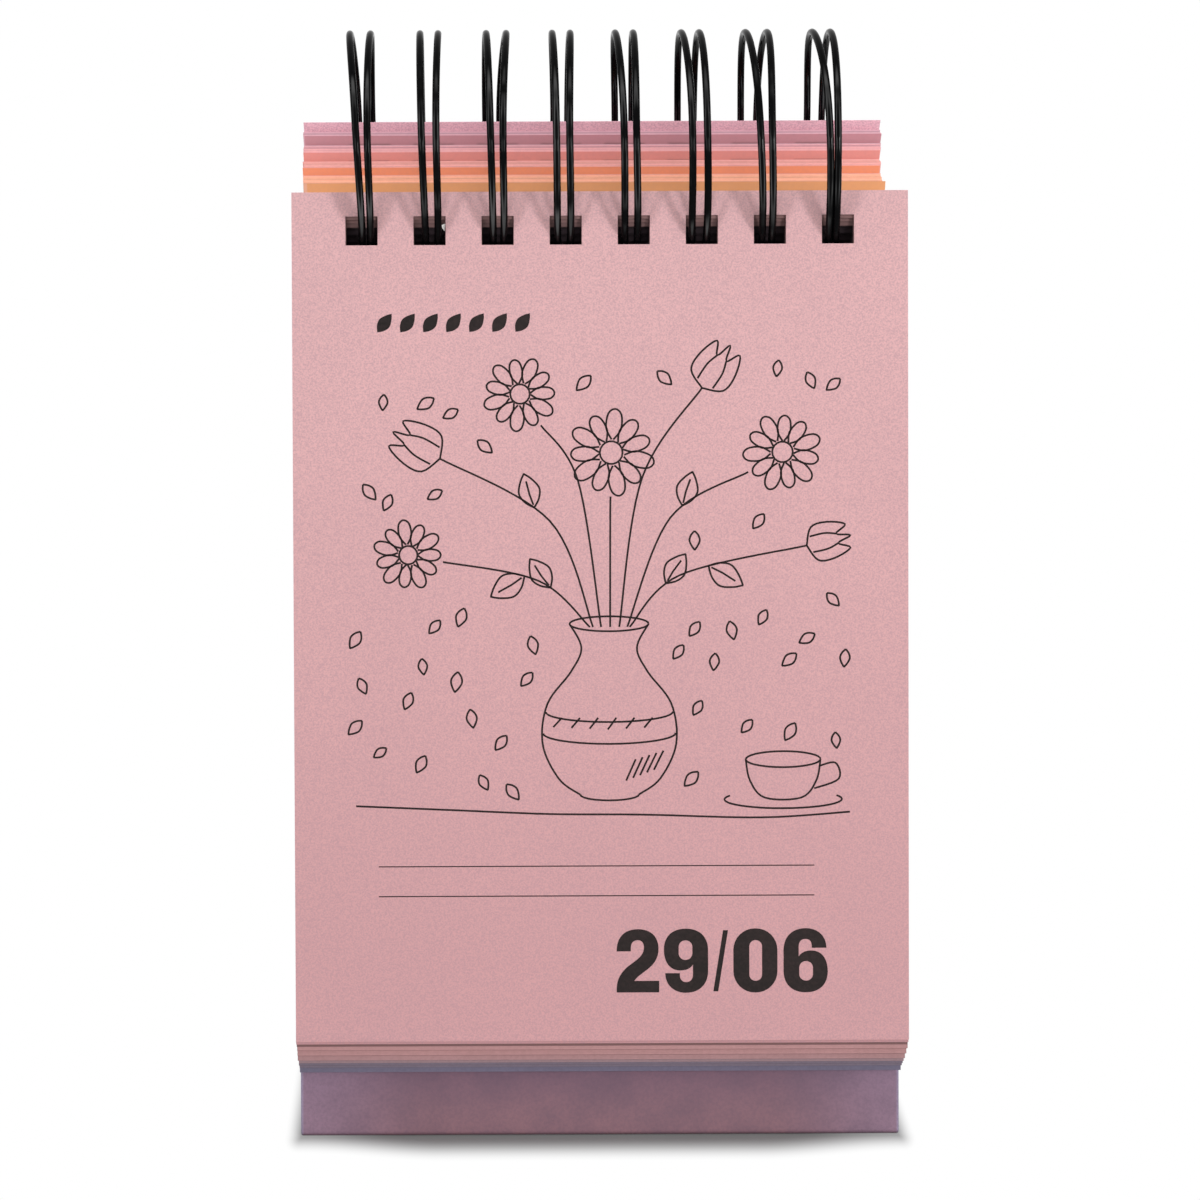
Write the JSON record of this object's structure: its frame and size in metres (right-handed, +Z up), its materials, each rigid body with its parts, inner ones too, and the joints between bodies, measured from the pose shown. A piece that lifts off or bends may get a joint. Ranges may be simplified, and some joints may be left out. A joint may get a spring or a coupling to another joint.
{
  "type": "daily flip calendar",
  "caption": "Daily flip calendar: square-punched leaves on black double wire rings, turned over the top of a folded board easel stand.",
  "frame": {"origin": "on the underside of the stand, straight below the centre of the wire rings", "axes": "+X to the viewer's right along the row of rings, -Y towards the viewer and the page on show, +Z up"},
  "size_m": [0.115, 0.1108, 0.2068],
  "materials": {
    "paper_today": "matt, uncoated",
    "paper_tomorrow": "matt, uncoated",
    "paper_jul": "matt, cut edges",
    "paper_aug": "matt, cut edges",
    "paper_sep": "matt, cut edges",
    "paper_oct": "matt, cut edges",
    "paper_nov": "matt, cut edges",
    "paper_dec": "matt, cut edges",
    "paper_jan": "matt, cut edges",
    "paper_feb": "matt, cut edges",
    "paper_mar": "matt, cut edges",
    "paper_apr": "matt, cut edges",
    "paper_may": "matt, cut edges",
    "paper_jun": "matt, cut edges",
    "paper_yesterday": "matt, uncoated",
    "cover": "matt covering paper, mauve shading",
    "lining": "matt",
    "grey_board": "raw grey board",
    "black_wire": "gloss black coating on steel wire"
  },
  "bodies": {
    "stand_and_piles": {"cover_paper": "cover", "lining_paper": "lining", "front_board": "grey_board", "base_board": "grey_board", "back_board": "grey_board", "wire_loop_1": "black_wire", "wire_loop_2": "black_wire", "wire_loop_3": "black_wire", "wire_loop_4": "black_wire", "wire_loop_5": "black_wire", "wire_loop_6": "black_wire", "wire_loop_7": "black_wire", "wire_loop_8": "black_wire", "page_30_06": "paper_tomorrow", "leaves_jul": "paper_jul", "leaves_aug": "paper_aug", "leaves_sep": "paper_sep", "leaves_oct": "paper_oct", "leaves_nov": "paper_nov", "leaves_dec": "paper_dec", "leaves_jan": "paper_jan", "leaves_feb": "paper_feb", "leaves_mar": "paper_mar", "leaves_apr": "paper_apr", "leaves_may": "paper_may", "leaves_jun": "paper_jun"},
    "front_page": {"page_29_06": "paper_today"},
    "turned_page": {"page_28_06": "paper_yesterday"}
  },
  "joints": [
    {"name": "front_page_turn", "type": "hinge", "parent": "stand_and_piles", "child": "front_page", "pos_m": [0, 0, 0.18344], "axis": [-1, 0, 0], "range_deg": [0, 191]},
    {"name": "turned_page_turn", "type": "hinge", "parent": "stand_and_piles", "child": "turned_page", "pos_m": [0, 0, 0.18344], "axis": [1, 0, 0], "range_deg": [0, 191]}
  ]
}
